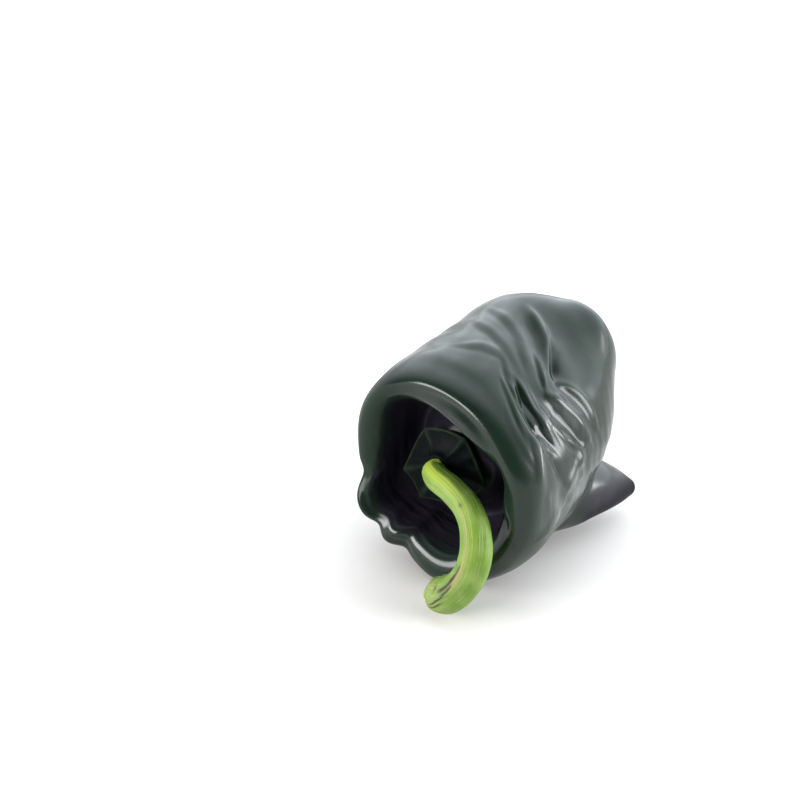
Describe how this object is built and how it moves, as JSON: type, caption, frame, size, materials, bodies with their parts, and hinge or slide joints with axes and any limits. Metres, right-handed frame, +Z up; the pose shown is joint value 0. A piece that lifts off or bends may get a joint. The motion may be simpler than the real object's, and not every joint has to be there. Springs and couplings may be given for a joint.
{
  "type": "poblano pepper",
  "caption": "Dark green poblano pepper lying on its side, with a sunken stem end, a calyx, a curled stem and a pointed tip.",
  "frame": {"origin": "middle of the small flat spot under the belly that the pepper rests on", "axes": "+Z up, +Y from the stem end towards the blossom end along the pod, +X to the right of the pod seen from its stem end"},
  "size_m": [0.0817, 0.1032, 0.0844],
  "materials": {
    "pod_skin": "waxy dark green skin",
    "calyx_skin": "satin dark green calyx",
    "stem_skin": "satin yellow-green stem"
  },
  "bodies": {
    "root": {"pod": "pod_skin", "calyx": "calyx_skin", "stem": "stem_skin"}
  },
  "joints": []
}
